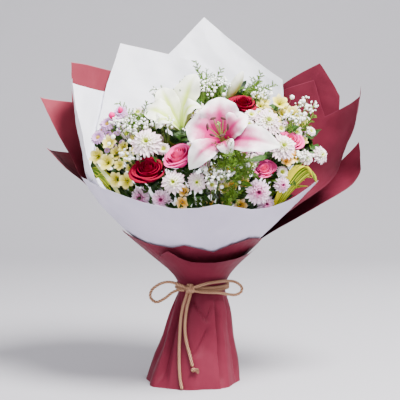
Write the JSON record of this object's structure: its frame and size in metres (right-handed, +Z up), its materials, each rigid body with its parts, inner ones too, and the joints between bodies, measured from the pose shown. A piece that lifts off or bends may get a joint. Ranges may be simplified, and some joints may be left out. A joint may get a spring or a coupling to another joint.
{
  "type": "flower bouquet",
  "caption": "Hand-tied mixed bouquet of lilies, roses and chrysanthemums in layered white and burgundy paper, bound with twine, standing on its stems and paper skirt.",
  "frame": {"origin": "on the level surface that the bouquet stands on, at the cut end of the middle stem", "axes": "+Z up, -Y to the front that the flowers face, +X to the right as seen from the front"},
  "size_m": [0.5149, 0.3375, 0.5915],
  "materials": {
    "paper_white": "matte wrapping paper",
    "paper_burgundy": "satin wrapping paper",
    "jute": "rough natural twine",
    "stem": "green stem",
    "red_rose": "velvety petal",
    "pink_rose": "velvety petal",
    "pink_lily": "satin petal",
    "white_lily": "satin petal",
    "white_mum": "soft petal",
    "pink_mum": "soft petal",
    "lilac_aster": "soft petal",
    "cream_alstroemeria": "satin petal",
    "salmon_alstroemeria": "satin petal",
    "gypsophila": "tiny papery petals",
    "fern": "fine green needles",
    "dark_leaf": "waxy leaf",
    "striped_grass": "satin striped leaf"
  },
  "bodies": {
    "root": {"alstroemeria_front": "salmon_alstroemeria", "alstroemeria_left_lower": "cream_alstroemeria", "alstroemeria_left_upper": "cream_alstroemeria", "alstroemeria_low_right": "salmon_alstroemeria", "alstroemeria_right": "cream_alstroemeria", "aster_lilac_left": "lilac_aster", "collar_front": "paper_burgundy", "collar_inner": "paper_burgundy", "fern_back": "fern", "fern_centre": "fern", "fern_left": "fern", "fern_low": "fern", "fern_right": "fern", "fern_top": "fern", "fern_top_right": "fern", "grass_left": "striped_grass", "grass_right": "striped_grass", "gypsophila_front": "gypsophila", "gypsophila_left": "gypsophila", "gypsophila_right": "gypsophila", "gypsophila_top": "gypsophila", "leaf_right": "dark_leaf", "leaves_left": "dark_leaf", "lily_bud": "white_lily", "lily_pink": "pink_lily", "lily_white": "white_lily", "mum_pink_low_left": "pink_mum", "mum_pink_low_mid": "pink_mum", "mum_pink_low_right": "pink_mum", "mum_pink_mid_right": "pink_mum", "mum_pink_rim_right": "pink_mum", "mum_spray_right": "white_mum", "mum_white_front": "white_mum", "mum_white_left": "white_mum", "mum_white_mid": "white_mum", "mum_white_right": "white_mum", "mum_white_top_right": "white_mum", "paper_burgundy_back": "paper_burgundy", "paper_burgundy_left_lower": "paper_burgundy", "paper_burgundy_left_upper": "paper_burgundy", "paper_burgundy_right_back": "paper_burgundy", "paper_burgundy_right_front": "paper_burgundy", "paper_burgundy_right_lower": "paper_burgundy", "paper_skirt": "paper_burgundy", "paper_white_back_centre": "paper_white", "paper_white_back_left": "paper_white", "paper_white_front": "paper_white", "paper_white_left": "paper_white", "rose_pink_left": "pink_rose", "rose_pink_low": "pink_rose", "rose_pink_right": "pink_rose", "rose_red_front": "red_rose", "rose_red_top": "red_rose", "stems": "stem", "twine_binding": "jute", "twine_loop_left": "jute", "twine_loop_right": "jute", "twine_tail_knot": "jute", "twine_tail_long": "jute", "twine_tail_short": "jute"}
  },
  "joints": []
}
